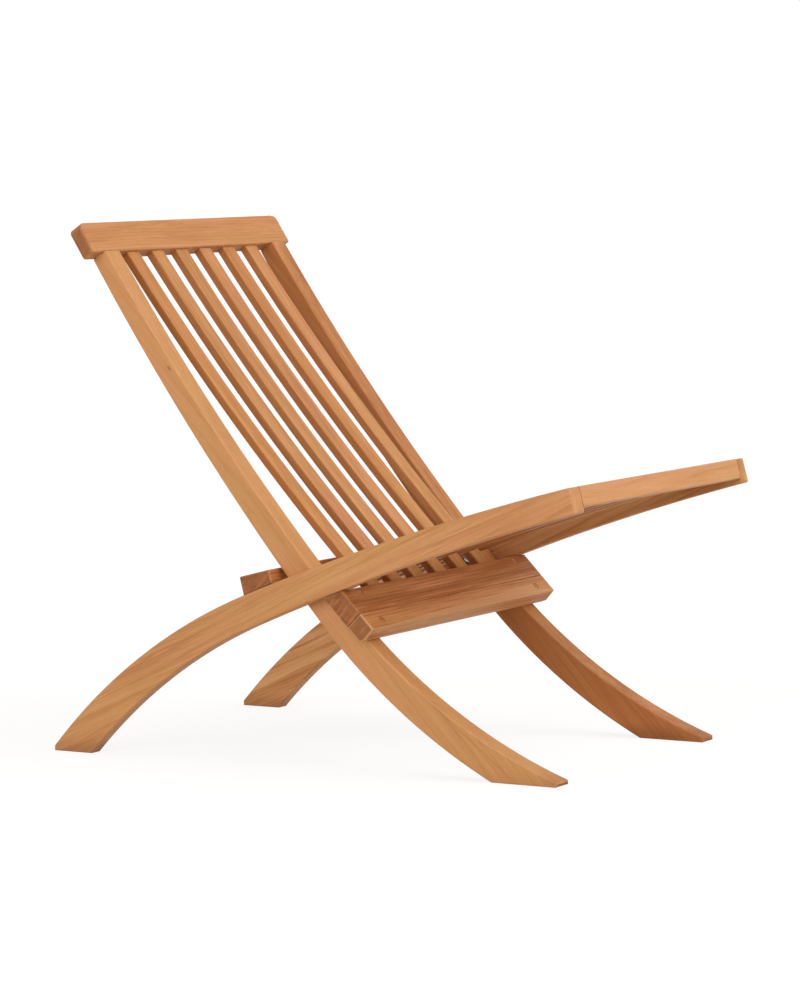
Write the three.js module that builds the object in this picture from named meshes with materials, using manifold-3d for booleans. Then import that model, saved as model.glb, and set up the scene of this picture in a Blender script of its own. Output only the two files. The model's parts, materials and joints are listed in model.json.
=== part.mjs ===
// Folding teak garden chair without arms. A slatted back frame runs down into curved front legs, and a
// wider seat frame runs back into curved rear legs. The two frames cross on one hinge line under the seat,
// and the seat slats pass between the back slats, so the seat swings up into the back to fold flat.
//
// Millimetres, +Z up, standing on Z 0. The sitter faces -Y and the sitter's right hand is on the -X side.
// The side outlines are drawn in (y, z) about the hinge line, and each piece is thickened along X.

import * as THREE from "three";
import { mergeVertices } from "three/addons/utils/BufferGeometryUtils.js";
import Module from "manifold-3d";

const wasm = await Module();
wasm.setup();

// Across the chair
const chair_width = 520; // over the outer faces of the two seat rails
const seat_rail_thick = 23;
const stile_thick = 33;
const side_gap = 2.4; // between a seat rail and the stile beside it, filled by the hinge washer

// Clearances and finish
const fit_gap = 0.3; // between two wooden pieces that touch, on each side
const running_gap = 0.35; // between a turning piece and its hole, all round
const edge_ease = 1.6; // the small chamfer round both faces of every thickened shape
const cut_overrun = 4; // how far a cutting tool runs past the face it leaves
const outline_step = 20; // length of one straight step along a curved outline
const corner_segments = 6;
const solve_steps = 60;

// The hinge line and the floor
const hinge_height = 257.4;
const toe_height = 7; // the blunt tip of each foot

// Back stiles: slope in degrees from the floor at the hinge, lengths along the curve from the hinge
const stile_slope = 48.8;
const stile_bow_radius = 3860;
const stile_knee = 45; // from the hinge down to where the tighter bend of the leg starts
const stile_foot_slope = 22.4; // degrees from the floor where the leg's centre line meets it
const stile_rise = 587; // from the hinge up to the underside of the top rail
const stile_leg = 450; // from the hinge down to where the foot's depth is measured
const stile_depth_top = 27.6;
const stile_depth_hinge = 40.2;
const stile_depth_foot = 47;
const stile_tenon_depth = 13;
const stile_tenon_length = 20;

// Seat rails: the same measures, from the front end back into the rear legs
const rail_slope = 20.6;
const rail_bow_radius = 4330;
const rail_knee = 92;
const rail_foot_slope = 47.874;
const rail_reach = 463; // from the hinge forward to the front face of the seat
const rail_leg = 488;
const rail_depth_front = 36.5;
const rail_depth_hinge = 44.5;
const rail_depth_foot = 54;
const rail_nose = 6; // rounding of the rails' front ends, in the side view and in plan

// Top rail of the back
const top_rail_overhang = 25.4; // past the outer face of each stile
const top_rail_thick = 23; // it lies flush with the rear edges of the stiles
const top_rail_height = 50;
const top_rail_corner = 15; // radius of its two upper corners

// Back slats
const back_slat_count = 6;
const back_slat_width = 30;
const back_slat_depth = 13;
const back_slat_bow_radius = 3860;
const slat_housing = 14; // how far a slat's end is let into the piece that holds it

// The two boards across the front legs, under the seat
const front_board_overhang = 23.4; // past the outer face of each stile
const front_board_thick = 30;
const upper_board_width = 42; // down its front face
const lower_board_width = 30.5;
const board_joint_gap = 0.9;
const lower_edge_width = 21; // the lower board's lower edge, before its rear corner is cut back
const lower_edge_lean = 4; // degrees that this edge leans down to the rear
const lower_corner_cut = 3; // how much shorter the lower board is along the legs than in front
const upper_plug_drop = 8.2; // from the front top arris to the plugs of each board
const lower_plug_drop = 16.5;

// Seat: front rail, slats and the board across the back of the seat
const front_rail_thick = 20;
const front_rail_height = 29;
const seat_slat_clearance = 2.94; // between a seat slat and the back slats on both sides of it
const seat_slat_thick = 22;
const seat_slat_housing = 10; // how far a seat slat is let into the front rail
const rear_board_overhang = 21; // past the inner face of each seat rail
const rear_board_width = 52;
const rear_board_thick = 27;
const rear_board_tilt = 14; // degrees that its top falls towards the back
const rear_board_clearance = 6; // from the stiles' rear edge to the board

// Hinge hardware, one set on each side
const bolt_radius = 4;
const bolt_head_radius = 10;
const bolt_head_height = 4.5;
const bolt_socket_radius = 3;
const bolt_socket_depth = 2.6;
const bolt_head_sink = 0.6; // how far the head lies under the stile's inner face
const bolt_tip_gap = 1;
const insert_radius = 7;
const insert_length = 15;
const washer_radius = 15;

// Screws, their wooden plugs, and dowels
const screw_radius = 2.5;
const screw_head_radius = 4.5;
const screw_head_height = 3;
const screw_tip_length = 6;
const board_screw_length = 42;
const rear_screw_length = 40;
const slat_screw_length = 30;
const plug_radius = 5.5;
const plug_length = 7;
const dowel_radius = 4;
const dowel_length = 24;
const dowel_spacing = 13;
const round_segments = 24;

// Places that follow from the sizes above
const stile_outer_x = chair_width / 2 - seat_rail_thick - side_gap;
const stile_inner_x = stile_outer_x - stile_thick;
const stile_x = (stile_outer_x + stile_inner_x) / 2;
const rail_inner_x = chair_width / 2 - seat_rail_thick;
const rail_x = (chair_width / 2 + rail_inner_x) / 2;
const back_slat_gap = (2 * stile_inner_x - back_slat_count * back_slat_width) / (back_slat_count + 1);
const slat_pitch = back_slat_width + back_slat_gap;
const seat_slat_width = back_slat_gap - 2 * seat_slat_clearance;
const top_rail_length = 2 * (stile_outer_x + top_rail_overhang);
const front_board_length = 2 * (stile_outer_x + front_board_overhang);
const rear_board_length = 2 * (rail_inner_x + rear_board_overhang);
const floor = -hinge_height; // seen from the hinge line, as every outline is
const back_slat_xs = Array.from(
  { length: back_slat_count },
  (_, i) => (i - (back_slat_count - 1) / 2) * slat_pitch,
);
const seat_slat_xs = Array.from(
  { length: back_slat_count + 1 },
  (_, i) => (i - back_slat_count / 2) * slat_pitch,
);

// Finishes
const oiled_teak = { color: 0xc58a57, roughness: 0.62, metalness: 0 };
const shaded_teak = { color: 0xb5774a, roughness: 0.62, metalness: 0 };
const end_teak = { color: 0x9a6640, roughness: 0.7, metalness: 0 };
const stainless = { color: 0xb9bcc0, roughness: 0.35, metalness: 1 };

const radians = THREE.MathUtils.degToRad;

// Small helpers for points in the side view
const point = (y, z) => new THREE.Vector2(y, z);
const along = (from, direction, distance) => from.clone().addScaledVector(direction, distance);

// A curved member: a gentle bow above its knee and the tighter bend of a leg below it, which reaches the
// floor at the foot's slope. Distances run along its centre line from the hinge, towards the foot. The slope
// grows towards the foot when bend is 1.
class Member {
  constructor({ forward, slope, bend, bowRadius, knee, footSlope, depths }) {
    Object.assign(this, { forward, slope: radians(slope), bend, bowRadius, knee, depths });
    const bow_end = this.arc(point(0, 0), this.slope, bowRadius, knee);
    const fall = bow_end.place.y - floor;
    this.legRadius = (bend * fall) / (Math.cos(bow_end.slope) - Math.cos(radians(footSlope)));
  }

  // One arc of the centre line, from a start point and slope
  arc(start, slope, radius, distance) {
    const k = this.bend / radius;
    const end = slope + k * distance;
    const run = (Math.sin(end) - Math.sin(slope)) / k;
    const fall = (Math.cos(slope) - Math.cos(end)) / k;
    return { place: point(start.x + this.forward * run, start.y - fall), slope: end };
  }

  // Centre, direction towards the foot and the normal of the upper edge, at a distance from the hinge
  at(distance) {
    const hinge = point(0, 0);
    let found = this.arc(hinge, this.slope, this.bowRadius, Math.min(distance, this.knee));
    if (distance > this.knee)
      found = this.arc(found.place, found.slope, this.legRadius, distance - this.knee);
    const { place, slope } = found;
    const direction = point(this.forward * Math.cos(slope), -Math.sin(slope));
    const normal = point(this.forward * Math.sin(slope), Math.cos(slope));
    return { place, slope, direction, normal };
  }

  // The depth of the member, which tapers evenly between the places where it is given
  depth(distance) {
    const [top, middle, foot] = this.depths;
    const [from, to] = distance < middle[0] ? [top, middle] : [middle, foot];
    const share = (distance - from[0]) / (to[0] - from[0]);
    return from[1] + share * (to[1] - from[1]);
  }

  // A point on the upper edge (side 1) or the lower edge (side -1), raised by an offset
  edge(distance, side, offset = 0) {
    const { place, normal } = this.at(distance);
    return along(place, normal, side * (this.depth(distance) / 2 + offset));
  }

  // Points of one edge between two distances, both ends included
  edgePoints(from, to, side) {
    const steps = Math.max(1, Math.round(Math.abs(to - from) / outline_step));
    return Array.from({ length: steps + 1 }, (_, i) => this.edge(from + ((to - from) * i) / steps, side));
  }

  // One edge from a distance down to a height over the floor, with its last point exactly there
  edgeDownTo(from, side, height) {
    const level = floor + height;
    const points = [];
    let last = this.edge(from, side);
    for (let distance = from; last.y > level; distance += outline_step) {
      points.push(last);
      last = this.edge(distance + outline_step, side);
    }
    const before = points[points.length - 1];
    const share = (before.y - level) / (before.y - last.y);
    points.push(before.clone().lerp(last, share));
    return points;
  }

  // The outline of a leg: down the upper edge to the blunt toe, along the floor, and up the lower edge
  legOutline(from) {
    const upper = this.edgeDownTo(from, 1, toe_height);
    const lower = this.edgeDownTo(from, -1, 0);
    const toe = upper[upper.length - 1];
    return [...upper, point(toe.x, floor), ...lower.reverse()];
  }
}

const stile = new Member({
  forward: -1,
  slope: stile_slope,
  bend: -1,
  bowRadius: stile_bow_radius,
  knee: stile_knee,
  footSlope: stile_foot_slope,
  depths: [
    [-stile_rise, stile_depth_top],
    [0, stile_depth_hinge],
    [stile_leg, stile_depth_foot],
  ],
});

const rail = new Member({
  forward: 1,
  slope: rail_slope,
  bend: 1,
  bowRadius: rail_bow_radius,
  knee: rail_knee,
  footSlope: rail_foot_slope,
  depths: [
    [-rail_reach, rail_depth_front],
    [0, rail_depth_hinge],
    [rail_leg, rail_depth_foot],
  ],
});

// A frame in the side view: an origin, one direction, and the normal to it
function sideFrame(origin, direction, normal) {
  return { origin, direction, normal, at: (d, n) => along(along(origin, direction, d), normal, n) };
}

// Keeps the part of an outline where the signed distance from a line is not positive
function clip(outline, linePoint, lineNormal) {
  const kept = [];
  const side = (p) => p.clone().sub(linePoint).dot(lineNormal);
  outline.forEach((p, i) => {
    const q = outline[(i + 1) % outline.length];
    const a = side(p);
    const b = side(q);
    if (a <= 0) kept.push(p);
    if (a * b < 0) kept.push(p.clone().lerp(q, a / (a - b)));
  });
  return kept;
}

// Replaces one corner of an outline with a curve that starts and ends at a distance from it
function roundCorner(outline, index, distance) {
  const corner = outline[index];
  const neighbours = [outline.at(index - 1), outline[(index + 1) % outline.length]];
  const [start, end] = neighbours.map((p) => along(corner, p.clone().sub(corner).normalize(), distance));
  const curve = new THREE.QuadraticBezierCurve(start, corner, end).getPoints(corner_segments);
  return [...outline.slice(0, index), ...curve, ...outline.slice(index + 1)];
}

// Extrudes a shape from an origin along the third of three axes, with an eased edge round both faces
const across = new THREE.Vector3(1, 0, 0);
function extrude(shape, thickness, origin, axes, ease = edge_ease) {
  const geometry = new THREE.ExtrudeGeometry(shape, {
    depth: thickness - 2 * ease,
    bevelEnabled: ease > 0,
    bevelThickness: ease,
    bevelSize: ease,
    bevelOffset: -ease,
    bevelSegments: 1,
    curveSegments: corner_segments,
  });
  geometry.translate(0, 0, ease);
  geometry.applyMatrix4(new THREE.Matrix4().makeBasis(...axes));
  geometry.translate(origin.x, origin.y, origin.z);
  return geometry;
}

// Thickens a side outline along X, centred on x
const side_axes = [new THREE.Vector3(0, 1, 0), new THREE.Vector3(0, 0, 1), across];
function thicken(outline, x, width, ease = edge_ease) {
  const origin = new THREE.Vector3(x - width / 2, 0, 0);
  return extrude(new THREE.Shape(outline), width, origin, side_axes, ease);
}

// Turns a radius-and-height profile round an axis that starts at a point and runs in a direction
function turned(profile, start, direction) {
  const points = profile.map(([radius, height]) => new THREE.Vector2(radius, height));
  const geometry = new THREE.LatheGeometry(points, round_segments);
  const turn = new THREE.Quaternion().setFromUnitVectors(new THREE.Vector3(0, 1, 0), direction);
  geometry.applyQuaternion(turn);
  geometry.translate(start.x, start.y, start.z);
  return geometry;
}

// A plain round bar, also used as a drill
function bar(radius, length, start, direction) {
  const profile = [
    [0, 0],
    [radius, 0],
    [radius, length],
    [0, length],
  ];
  return turned(profile, start, direction);
}

// A ring with a hole, for washers and threaded inserts
function ring(outer, inner, length, start, direction) {
  const profile = [
    [inner, 0],
    [outer, 0],
    [outer, length],
    [inner, length],
    [inner, 0],
  ];
  return turned(profile, start, direction);
}

// A countersunk wood screw, from the flat of its head to its tip
function screw(length, start, direction) {
  const profile = [
    [0, 0],
    [screw_head_radius, 0],
    [screw_radius, screw_head_height],
    [screw_radius, length - screw_tip_length],
    [0, length],
  ];
  return turned(profile, start, direction);
}

// The hole for a screw, which starts past the face that the head lies in
function screwHole(head, inward, length) {
  const grow = fit_gap;
  const profile = [
    [0, -cut_overrun],
    [screw_head_radius + grow, -cut_overrun],
    [screw_head_radius + grow, 0],
    [screw_radius + grow, screw_head_height],
    [screw_radius + grow, length + grow],
    [0, length + grow],
  ];
  return turned(profile, head, inward);
}

// Booleans on closed geometries
function solidOf(geometry) {
  const bare = geometry.clone();
  bare.deleteAttribute("normal");
  bare.deleteAttribute("uv");
  const merged = mergeVertices(bare);
  return new wasm.Manifold(
    new wasm.Mesh({
      numProp: 3,
      vertProperties: merged.attributes.position.array,
      triVerts: new Uint32Array(merged.index.array),
    }),
  );
}

function geometryOf(solid) {
  const { numProp, vertProperties, triVerts } = solid.getMesh();
  const geometry = new THREE.BufferGeometry();
  const places = new Float32Array((vertProperties.length / numProp) * 3);
  for (let i = 0; i * numProp < vertProperties.length; i += 1)
    places.set(vertProperties.subarray(i * numProp, i * numProp + 3), i * 3);
  geometry.setAttribute("position", new THREE.BufferAttribute(places, 3));
  geometry.setIndex(new THREE.BufferAttribute(triVerts, 1));
  return geometry;
}

function cut(geometry, tools) {
  let solid = solidOf(geometry);
  for (const tool of tools) solid = solid.subtract(solidOf(tool));
  return geometryOf(solid);
}

const chair = new THREE.Group();
const back_frame = new THREE.Group();
const seat_frame = new THREE.Group();
chair.add(back_frame, seat_frame);

function add(group, name, geometry, finish) {
  geometry.computeVertexNormals();
  const mesh = new THREE.Mesh(geometry, new THREE.MeshStandardMaterial(finish));
  mesh.name = name;
  group.add(mesh);
}

const sides = [
  { name: "right", sign: -1 },
  { name: "left", sign: 1 },
];
const place3 = (x, p) => new THREE.Vector3(x, p.x, p.y);
const direction3 = (p) => new THREE.Vector3(0, p.x, p.y);

// The value between low and high where a rising or falling function crosses zero
function solve(f, low, high) {
  const falling = f(low) > 0;
  let [a, b] = [low, high];
  for (let i = 0; i < solve_steps; i += 1) {
    const middle = (a + b) / 2;
    if (f(middle) > 0 === falling) a = middle;
    else b = middle;
  }
  return a;
}

// Top rail: it stands on the shoulders of the stiles, flush with their rear edges
const stile_top = stile.at(-stile_rise);
const back_up = stile_top.direction.clone().negate();
const top_rail_frame = sideFrame(stile.edge(-stile_rise, -1), back_up, stile_top.normal);

// The underside of the seat rails where they rest on the upper front board, as a line just under them
const meeting = solve((d) => rail.at(0).normal.dot(stile.edge(d, 1)) + rail.depth(0) / 2, 0, stile_leg);
const bed_distance = rail.at(0).direction.dot(stile.edge(meeting, 1)) - front_board_thick / 2;
const bed = { point: rail.edge(bed_distance, -1, fit_gap), normal: rail.at(bed_distance).normal };

// The two front boards lie in one plane across the front edges of the legs, on the chord of their curve
const board_face = fit_gap + front_board_thick;
const chord_start = stile.edge(meeting, 1);
const chord_end = stile.edge(meeting + upper_board_width + lower_board_width + front_board_thick / 2, 1);
const board_down = chord_end.sub(chord_start).normalize();
const board_frame = sideFrame(chord_start, board_down, point(board_down.y, -board_down.x));

// How far along the boards the rails' underside lies, at a height over the legs
function bedAlong(height) {
  const from = along(board_frame.origin, board_frame.normal, height);
  return bed.point.clone().sub(from).dot(bed.normal) / board_down.dot(bed.normal);
}
const upper_start = bedAlong(board_face);
const upper_end = upper_start + upper_board_width;
const lower_start = upper_end + board_joint_gap;
const lower_end = lower_start + lower_board_width;

// The back slats run in one bowed line from the top rail to the upper front board
const slat_top = top_rail_frame.at(0, top_rail_thick / 2);
const slat_foot_height = fit_gap + front_board_thick / 2;
const slat_foot = board_frame.at(bedAlong(slat_foot_height), slat_foot_height);

function slatOutline(depth, housing) {
  const chord = slat_foot.clone().sub(slat_top);
  const half = chord.length() / 2;
  const direction = chord.normalize();
  const front = point(direction.y, -direction.x);
  const middle = along(slat_top, direction, half);
  const centre = along(middle, front, Math.sqrt(back_slat_bow_radius ** 2 - half ** 2));
  const reach = Math.asin(half / back_slat_bow_radius) + housing / back_slat_bow_radius;
  const steps = Math.round(half / outline_step);
  const arc = (radius, sign) =>
    Array.from({ length: steps + 1 }, (_, i) => {
      const angle = sign * reach * ((2 * i) / steps - 1);
      return along(along(centre, front, -radius * Math.cos(angle)), direction, radius * Math.sin(angle));
    });
  return [
    ...arc(back_slat_bow_radius - depth / 2, 1),
    ...arc(back_slat_bow_radius + depth / 2, -1),
  ];
}

// The board across the back of the seat, lying on the seat rails just behind the stiles
const rear_along = point(Math.cos(radians(rear_board_tilt)), -Math.sin(radians(rear_board_tilt)));
const rear_up = point(-rear_along.y, rear_along.x);
function rearBoardCorner(distance) {
  return along(along(rail.edge(distance, 1), rear_along, -rear_board_width), rear_up, rear_board_thick);
}
function stileRearAt(height) {
  return stile.edge(solve((d) => stile.edge(d, -1).y - height, -stile_rise, stile_leg), -1).x;
}
const rear_board_end = solve(
  (d) => rearBoardCorner(d).x - stileRearAt(rearBoardCorner(d).y) - rear_board_clearance,
  0,
  rail_leg,
);
const rear_board_middle = rear_board_end - rear_board_width / 2;

// The seat's front rail stands between the side rails, flush with their tops and front ends
const rail_end = rail.at(-rail_reach);
const forward = rail_end.direction.clone().negate();
const front_rail_frame = sideFrame(rail.edge(-rail_reach, 1), forward, rail_end.normal);
const front_rail_rear = -rail_reach + front_rail_thick;

// Back frame: the two stiles, each with a tenon into the top rail and a bore for the hinge bolt
function tenonOutline(start, grow) {
  const rear = (top_rail_thick - stile_tenon_depth) / 2 - grow;
  const front = rear + stile_tenon_depth + 2 * grow;
  const tip = stile_tenon_length + grow;
  const frame = top_rail_frame;
  return [frame.at(start, rear), frame.at(tip, rear), frame.at(tip, front), frame.at(start, front)];
}
const tenon_mortises = sides.map((side) => {
  const outline = tenonOutline(-cut_overrun, fit_gap);
  return thicken(outline, side.sign * stile_x, stile_thick + 2 * fit_gap, 0);
});

// The hinge bolt's places along X, from the middle of the chair outwards
const head_face = stile_inner_x + bolt_head_sink;
const head_seat = head_face + bolt_head_height;
const bolt_tip = rail_inner_x + insert_length - bolt_tip_gap;

function hingeBores(sign) {
  const out = across.clone().multiplyScalar(sign);
  const at = (x) => new THREE.Vector3(sign * x, 0, 0);
  const counterbore_start = stile_inner_x - cut_overrun;
  const counterbore = bar(
    bolt_head_radius + running_gap,
    head_seat + fit_gap - counterbore_start,
    at(counterbore_start),
    out,
  );
  const bore = bar(bolt_radius + running_gap, stile_thick + cut_overrun, at(stile_inner_x), out);
  return [counterbore, bore];
}

function insertHole(sign) {
  const out = across.clone().multiplyScalar(sign);
  const start = new THREE.Vector3(sign * (rail_inner_x - cut_overrun), 0, 0);
  return bar(insert_radius + fit_gap, insert_length + fit_gap + cut_overrun, start, out);
}

// Screws through the front boards into the stiles, each under a wooden plug
const board_screws = [
  { board: "upper", distance: upper_start + upper_plug_drop },
  { board: "lower", distance: lower_start + lower_plug_drop },
];
const board_inward = direction3(board_frame.normal.clone().negate());

function pluggedScrewTools(face, inward, head, length) {
  const start = face.clone().addScaledVector(inward, -cut_overrun);
  const plug_hole = bar(plug_radius + fit_gap, plug_length + cut_overrun, start, inward);
  return [plug_hole, screwHole(head, inward, length)];
}

const board_tools = { upper: [], lower: [] };
const stile_tools = { right: [], left: [] };
const screw_pieces = [];
for (const side of sides)
  for (const entry of board_screws) {
    const face = place3(side.sign * stile_x, board_frame.at(entry.distance, board_face));
    const head = face.clone().addScaledVector(board_inward, plug_length);
    board_tools[entry.board].push(...pluggedScrewTools(face, board_inward, head, board_screw_length));
    stile_tools[side.name].push(screwHole(head, board_inward, board_screw_length));
    const suffix = entry.board + "_" + side.name;
    const plug = bar(plug_radius, plug_length - fit_gap, face, board_inward);
    screw_pieces.push(["board_screw_" + suffix, screw(board_screw_length, head, board_inward), stainless]);
    screw_pieces.push(["board_plug_" + suffix, plug, end_teak]);
  }

for (const side of sides) {
  const outline = [...stile.legOutline(-stile_rise), ...tenonOutline(0, 0)];
  const geometry = thicken(outline, side.sign * stile_x, stile_thick);
  const tools = [...hingeBores(side.sign), ...stile_tools[side.name]];
  add(back_frame, "back_stile_" + side.name, cut(geometry, tools), oiled_teak);
}

function topRailBlank() {
  const half = top_rail_length / 2;
  const shape = new THREE.Shape();
  shape.moveTo(-half, fit_gap);
  shape.lineTo(half, fit_gap);
  shape.absarc(half - top_rail_corner, top_rail_height - top_rail_corner, top_rail_corner, 0, Math.PI / 2);
  shape.absarc(
    top_rail_corner - half,
    top_rail_height - top_rail_corner,
    top_rail_corner,
    Math.PI / 2,
    Math.PI,
  );
  const origin = place3(0, top_rail_frame.origin);
  return extrude(shape, top_rail_thick, origin, [across, direction3(back_up), direction3(stile_top.normal)]);
}

const slat_mortises = back_slat_xs.map((x) =>
  thicken(
    slatOutline(back_slat_depth + 2 * fit_gap, slat_housing + fit_gap),
    x,
    back_slat_width + 2 * fit_gap,
    0,
  ),
);
add(back_frame, "top_rail", cut(topRailBlank(), [...slat_mortises, ...tenon_mortises]), oiled_teak);

back_slat_xs.forEach((x, i) => {
  const outline = slatOutline(back_slat_depth, slat_housing);
  add(back_frame, "back_slat_" + (i + 1), thicken(outline, x, back_slat_width), oiled_teak);
});

// The upper board's top edge is bevelled to the underside of the seat rails, which rest on it
const upper_outline = clip(
  [
    board_frame.at(upper_end, fit_gap),
    board_frame.at(upper_end, board_face),
    board_frame.at(-front_board_thick, board_face),
    board_frame.at(-front_board_thick, fit_gap),
  ],
  bed.point,
  bed.normal,
);
const upper_blank = thicken(upper_outline, 0, front_board_length);
add(back_frame, "front_board_upper", cut(upper_blank, [...board_tools.upper, ...slat_mortises]), shaded_teak);

const lean = radians(lower_edge_lean);
const lower_outline = [
  board_frame.at(lower_start, fit_gap),
  board_frame.at(lower_end - lower_corner_cut, fit_gap),
  board_frame.at(
    lower_end + lower_edge_width * Math.sin(lean),
    board_face - lower_edge_width * Math.cos(lean),
  ),
  board_frame.at(lower_end, board_face),
  board_frame.at(lower_start, board_face),
];
const lower_blank = thicken(lower_outline, 0, front_board_length);
add(back_frame, "front_board_lower", cut(lower_blank, board_tools.lower), shaded_teak);
for (const [name, geometry, finish] of screw_pieces) add(back_frame, name, geometry, finish);

// Seat frame: the rear board's screws go down into the rails
const rear_screw_places = sides.map((side) => {
  const corner = rail.edge(rear_board_end, 1);
  const top = along(along(corner, rear_along, -rear_board_width / 2), rear_up, rear_board_thick);
  const inward = direction3(rear_up.clone().negate());
  const face = place3(side.sign * rail_x, top);
  return { side, face, inward, head: face.clone().addScaledVector(inward, plug_length) };
});

// Dowels between the side rails and the ends of the front rail
const dowel_places = [1, -1].map((level) =>
  front_rail_frame.at(-front_rail_thick / 2, (level * dowel_spacing - front_rail_height) / 2),
);
const dowel_names = ["upper", "lower"];
function dowel(sign, p, grow) {
  const start = place3(sign * (rail_inner_x - dowel_length / 2 - grow), p);
  return bar(dowel_radius + grow, dowel_length + 2 * grow, start, across.clone().multiplyScalar(sign));
}
const dowelHoles = (sign) => dowel_places.map((p) => dowel(sign, p, fit_gap));

// Rounds the outer front corner of a side rail, seen from above
function cornerTool(sign) {
  const shape = new THREE.Shape();
  shape.moveTo(0, -rail_nose);
  shape.lineTo(cut_overrun, -rail_nose);
  shape.lineTo(cut_overrun, cut_overrun);
  shape.lineTo(-rail_nose, cut_overrun);
  shape.absarc(-rail_nose, -rail_nose, rail_nose, Math.PI / 2, 0, true);
  const out = across.clone().multiplyScalar(sign);
  const ahead = direction3(forward);
  const along_depth = out.clone().cross(ahead);
  const corner = place3((sign * chair_width) / 2, rail_end.place);
  corner.addScaledVector(along_depth, -rail_depth_front);
  return extrude(shape, 2 * rail_depth_front, corner, [out, ahead, along_depth], 0);
}

for (const side of sides) {
  const leg = rail.legOutline(-rail_reach);
  const outline = roundCorner(roundCorner(leg, leg.length - 1, rail_nose), 0, rail_nose);
  const geometry = thicken(outline, side.sign * rail_x, seat_rail_thick);
  const { inward, head } = rear_screw_places.find((entry) => entry.side === side);
  const tools = [
    insertHole(side.sign),
    screwHole(head, inward, rear_screw_length),
    cornerTool(side.sign),
    ...dowelHoles(side.sign),
  ];
  add(seat_frame, "seat_rail_" + side.name, cut(geometry, tools), oiled_teak);
}

function seatSlatOutline(from, grow) {
  const upper = rail.edgePoints(from, rear_board_end, 1);
  const lower = upper.map((p, i) => {
    const distance = from + ((rear_board_end - from) * i) / (upper.length - 1);
    return along(p, rail.at(distance).normal, -seat_slat_thick - grow);
  });
  const raised = upper.map((p) => along(p, point(0, 1), grow));
  return [...raised, ...lower.reverse()];
}

// Screws up through the rear ends of the seat slats into the rear board
const slat_screw_place = rail.edge(rear_board_middle, 1, -seat_slat_thick);
const slat_screw_up = rail.at(rear_board_middle).normal;
const slat_screw_starts = seat_slat_xs.map((x) => place3(x, slat_screw_place));
const slat_screw_holes = slat_screw_starts.map((start) =>
  screwHole(start, direction3(slat_screw_up), slat_screw_length),
);

seat_slat_xs.forEach((x, i) => {
  const outline = seatSlatOutline(front_rail_rear - seat_slat_housing, 0);
  const geometry = thicken(outline, x, seat_slat_width);
  add(seat_frame, "seat_slat_" + (i + 1), cut(geometry, [slat_screw_holes[i]]), oiled_teak);
});

const front_rail_outline = [
  front_rail_frame.at(0, 0),
  front_rail_frame.at(-front_rail_thick, 0),
  front_rail_frame.at(-front_rail_thick, -front_rail_height),
  front_rail_frame.at(0, -front_rail_height),
];
const front_rail_blank = thicken(front_rail_outline, 0, 2 * (rail_inner_x - fit_gap));
const slat_housings = seat_slat_xs.map((x) => {
  const outline = seatSlatOutline(front_rail_rear - seat_slat_housing - fit_gap, fit_gap);
  return thicken(outline, x, seat_slat_width + 2 * fit_gap, 0);
});
const front_rail_tools = [...slat_housings, ...dowelHoles(1), ...dowelHoles(-1)];
add(seat_frame, "front_rail", cut(front_rail_blank, front_rail_tools), oiled_teak);

// The rear board's underside is planed to the slope of the rails
const rear_corner = rail.edge(rear_board_end, 1);
const rear_outline = clip(
  [
    along(rear_corner, rear_up, -rear_board_thick),
    along(rear_corner, rear_up, rear_board_thick),
    rearBoardCorner(rear_board_end),
    along(rearBoardCorner(rear_board_end), rear_up, -2 * rear_board_thick),
  ],
  rail.edge(rear_board_middle, 1, fit_gap),
  rail.at(rear_board_middle).normal.clone().negate(),
);
const rear_tools = rear_screw_places.flatMap(({ face, inward, head }) =>
  pluggedScrewTools(face, inward, head, rear_screw_length),
);
const rear_blank = thicken(rear_outline, 0, rear_board_length);
add(seat_frame, "rear_board", cut(rear_blank, [...rear_tools, ...slat_screw_holes]), shaded_teak);

for (const { side, face, inward, head } of rear_screw_places) {
  add(seat_frame, "rear_screw_" + side.name, screw(rear_screw_length, head, inward), stainless);
  add(seat_frame, "rear_plug_" + side.name, bar(plug_radius, plug_length - fit_gap, face, inward), end_teak);
}
slat_screw_starts.forEach((start, i) => {
  const geometry = screw(slat_screw_length, start, direction3(slat_screw_up));
  add(seat_frame, "slat_screw_" + (i + 1), geometry, stainless);
});
for (const side of sides)
  dowel_places.forEach((p, i) => {
    const name = "rail_dowel_" + dowel_names[i] + "_" + side.name;
    add(seat_frame, name, dowel(side.sign, p, 0), end_teak);
  });

// Hinge hardware: a bolt through each stile and a washer into a threaded insert in the seat rail
for (const side of sides) {
  const out = across.clone().multiplyScalar(side.sign);
  const at = (x) => new THREE.Vector3(side.sign * x, 0, 0);
  const bolt_profile = [
    [0, bolt_socket_depth],
    [bolt_socket_radius, bolt_socket_depth],
    [bolt_socket_radius, 0],
    [bolt_head_radius, 0],
    [bolt_head_radius, bolt_head_height],
    [bolt_radius, bolt_head_height],
    [bolt_radius, bolt_tip - head_face],
    [0, bolt_tip - head_face],
  ];
  add(seat_frame, "hinge_bolt_" + side.name, turned(bolt_profile, at(head_face), out), stainless);
  const washer_inner = bolt_radius + running_gap;
  const washer = ring(washer_radius, washer_inner, side_gap - 2 * fit_gap, at(stile_outer_x + fit_gap), out);
  add(seat_frame, "hinge_washer_" + side.name, washer, stainless);
  const insert = ring(insert_radius, bolt_radius + fit_gap, insert_length, at(rail_inner_x), out);
  add(seat_frame, "hinge_insert_" + side.name, insert, stainless);
}

// The chair stands on Z 0 with its origin under its middle
chair.position.z = hinge_height;
const extent = new THREE.Box3().setFromObject(chair);
chair.position.y = -(extent.min.y + extent.max.y) / 2;

export default chair;
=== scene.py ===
"""Folding teak chair: finished timber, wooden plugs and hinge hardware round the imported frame."""

import json
import math

import bmesh
import bpy
from mathutils import Euler, Matrix, Vector
from mathutils.bvhtree import BVHTree


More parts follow.
